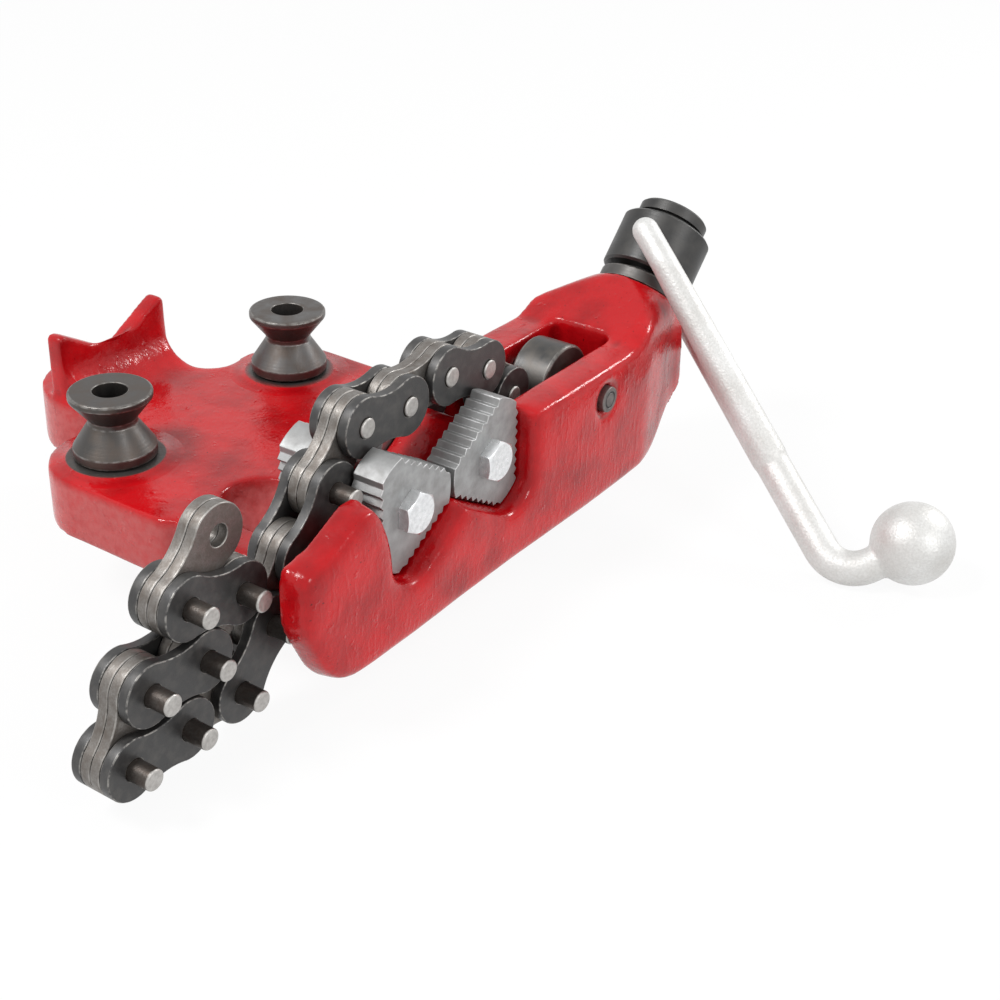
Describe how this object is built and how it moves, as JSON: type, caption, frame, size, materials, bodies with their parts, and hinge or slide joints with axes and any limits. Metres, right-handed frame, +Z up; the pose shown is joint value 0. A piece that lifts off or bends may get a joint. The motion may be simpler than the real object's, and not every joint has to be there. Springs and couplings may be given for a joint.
{
  "type": "bench chain pipe vise",
  "caption": "Bench chain pipe vise: cast base with toothed V jaws, a leaf chain pulled tight by a crank screw, bending spools on the bench bolts and a rear pipe rest.",
  "frame": {"origin": "on the underside of the base plate, midway between the two bench bolts", "axes": "+Z up from the bench, +X along the body towards the screw, +Y back over the bench along the pipe"},
  "size_m": [0.3733, 0.3577, 0.1209],
  "materials": {
    "red_enamel": "glossy red enamel on a rough casting",
    "jaw_steel": "matte blasted tool steel",
    "zinc_steel": "bright zinc plate",
    "turned_steel": "dark oiled turned steel",
    "black_steel": "black oxide, worn on the edges",
    "link_steel": "bare grey steel, scratched",
    "silver_paint": "grainy silver-white paint"
  },
  "bodies": {
    "frame": {"vise_casting": "red_enamel", "near_jaw_left": "jaw_steel", "near_jaw_right": "jaw_steel", "far_jaw_left": "jaw_steel", "far_jaw_right": "jaw_steel", "jaw_bolts": "zinc_steel", "spool_left": "turned_steel", "spool_right": "turned_steel", "roller_pin": "turned_steel", "thrust_collar": "turned_steel"},
    "roller": {"guide_roller": "turned_steel"},
    "screw": {"feed_screw": "black_steel"},
    "nut": {"chain_nut": "black_steel", "anchor_pin": "link_steel"},
    "handle": {"crank_handle": "silver_paint"},
    "link_1": {"inner_link_1": "link_steel"},
    "link_2": {"outer_plates_2": "black_steel", "link_pins_2": "link_steel"},
    "link_3": {"inner_link_3": "link_steel"},
    "link_4": {"outer_plates_4": "black_steel", "link_pins_4": "link_steel"},
    "link_5": {"inner_link_5": "link_steel"},
    "link_6": {"outer_plates_6": "black_steel", "link_pins_6": "link_steel"},
    "link_7": {"inner_link_7": "link_steel"},
    "link_8": {"outer_plates_8": "black_steel", "link_pins_8": "link_steel"},
    "link_9": {"inner_link_9": "link_steel"},
    "link_10": {"outer_plates_10": "black_steel", "link_pins_10": "link_steel"},
    "link_11": {"inner_link_11": "link_steel"},
    "link_12": {"outer_plates_12": "black_steel", "link_pins_12": "link_steel"},
    "link_13": {"inner_link_13": "link_steel"},
    "link_14": {"outer_plates_14": "black_steel", "link_pins_14": "link_steel"},
    "link_15": {"inner_link_15": "link_steel"},
    "link_16": {"outer_plates_16": "black_steel", "link_pins_16": "link_steel"},
    "link_17": {"inner_link_17": "link_steel"},
    "link_18": {"outer_plates_18": "black_steel", "link_pins_18": "link_steel"},
    "link_19": {"inner_link_19": "link_steel"}
  },
  "joints": [
    {"name": "roller_spin", "type": "hinge", "parent": "frame", "child": "roller", "pos_m": [0.097, -0.1035, 0.0335], "axis": [0, 1, 0], "continuous": true},
    {"name": "screw_turn", "type": "hinge", "parent": "frame", "child": "screw", "pos_m": [0.184, -0.1035, 0.063], "axis": [0.7071, 0, 0.7071], "range_deg": [-30, 160]},
    {"name": "nut_travel", "type": "slide", "parent": "frame", "child": "nut", "axis": [-0.7071, 0, -0.7071], "range_m": [-0.0004, 0.0019]},
    {"name": "handle_swing", "type": "hinge", "parent": "screw", "child": "handle", "pos_m": [0.184, -0.1035, 0.063], "axis": [-0.6984, -0.1564, 0.6984], "range_deg": [0, 200]},
    {"name": "link_1_hinge", "type": "hinge", "parent": "nut", "child": "link_1", "pos_m": [0.13443, -0.1013, 0.01343], "axis": [0, 1, 0], "range_deg": [0, 0.7]},
    {"name": "link_2_hinge", "type": "hinge", "parent": "link_1", "child": "link_2", "pos_m": [0.11497, -0.1013, -0.0029], "axis": [0, 1, 0], "range_deg": [0, 0.7]},
    {"name": "link_3_hinge", "type": "hinge", "parent": "link_2", "child": "link_3", "pos_m": [0.08996, -0.1013, 0.00152], "axis": [0, 1, 0], "range_deg": [0, 0.7]},
    {"name": "link_4_hinge", "type": "hinge", "parent": "link_3", "child": "link_4", "pos_m": [0.0705, -0.1013, 0.01784], "axis": [0, 1, 0], "range_deg": [0, 1.5]},
    {"name": "link_5_hinge", "type": "hinge", "parent": "link_4", "child": "link_5", "pos_m": [0.06173, -0.1013, 0.04168], "axis": [0, 1, 0], "range_deg": [0, 8]},
    {"name": "link_6_hinge", "type": "hinge", "parent": "link_5", "child": "link_6", "pos_m": [0.04377, -0.1013, 0.05964], "axis": [0, 1, 0], "range_deg": [0, 30]},
    {"name": "link_7_hinge", "type": "hinge", "parent": "link_6", "child": "link_7", "pos_m": [0.01902, -0.1013, 0.06535], "axis": [0, 1, 0], "range_deg": [0, 19]},
    {"name": "link_8_hinge", "type": "hinge", "parent": "link_7", "child": "link_8", "pos_m": [-0.00624, -0.1013, 0.0627], "axis": [0, 1, 0], "range_deg": [0, 10]},
    {"name": "link_9_hinge", "type": "hinge", "parent": "link_8", "child": "link_9", "pos_m": [-0.0316, -0.1013, 0.06403], "axis": [0, 1, 0], "range_deg": [0, 50]},
    {"name": "link_10_hinge", "type": "hinge", "parent": "link_9", "child": "link_10", "pos_m": [-0.04893, -0.1013, 0.04545], "axis": [0, 1, 0], "range_deg": [0, 10]},
    {"name": "link_11_hinge", "type": "hinge", "parent": "link_10", "child": "link_11", "pos_m": [-0.06625, -0.1013, 0.02688], "axis": [0, 1, 0], "range_deg": [0, 10]},
    {"name": "link_12_hinge", "type": "hinge", "parent": "link_11", "child": "link_12", "pos_m": [-0.08357, -0.1013, 0.0083], "axis": [0, 1, 0], "range_deg": [0, 10]},
    {"name": "link_13_hinge", "type": "hinge", "parent": "link_12", "child": "link_13", "pos_m": [-0.10089, -0.1013, -0.01028], "axis": [0, 1, 0], "range_deg": [0, 1.2]},
    {"name": "link_14_hinge", "type": "hinge", "parent": "link_13", "child": "link_14", "pos_m": [-0.12629, -0.1013, -0.01072], "axis": [0, -1, 0], "range_deg": [0, 40]},
    {"name": "link_15_hinge", "type": "hinge", "parent": "link_14", "child": "link_15", "pos_m": [-0.15169, -0.1013, -0.01116], "axis": [0, -1, 0], "range_deg": [0, 100]},
    {"name": "link_16_hinge", "type": "hinge", "parent": "link_15", "child": "link_16", "pos_m": [-0.14115, -0.1013, 0.01195], "axis": [0, -1, 0], "range_deg": [0, 60]},
    {"name": "link_17_hinge", "type": "hinge", "parent": "link_16", "child": "link_17", "pos_m": [-0.11577, -0.1013, 0.01106], "axis": [0, -1, 0], "range_deg": [0, 10]},
    {"name": "link_18_hinge", "type": "hinge", "parent": "link_17", "child": "link_18", "pos_m": [-0.09719, -0.1013, 0.02839], "axis": [0, 1, 0], "range_deg": [0, 55]},
    {"name": "link_19_hinge", "type": "hinge", "parent": "link_18", "child": "link_19", "pos_m": [-0.12178, -0.1013, 0.03475], "axis": [0, -1, 0], "range_deg": [0, 120]}
  ],
  "couplings": [
    {"joint": "nut_travel", "follows": "screw_turn", "m_per_rad": 0.00066845}
  ]
}
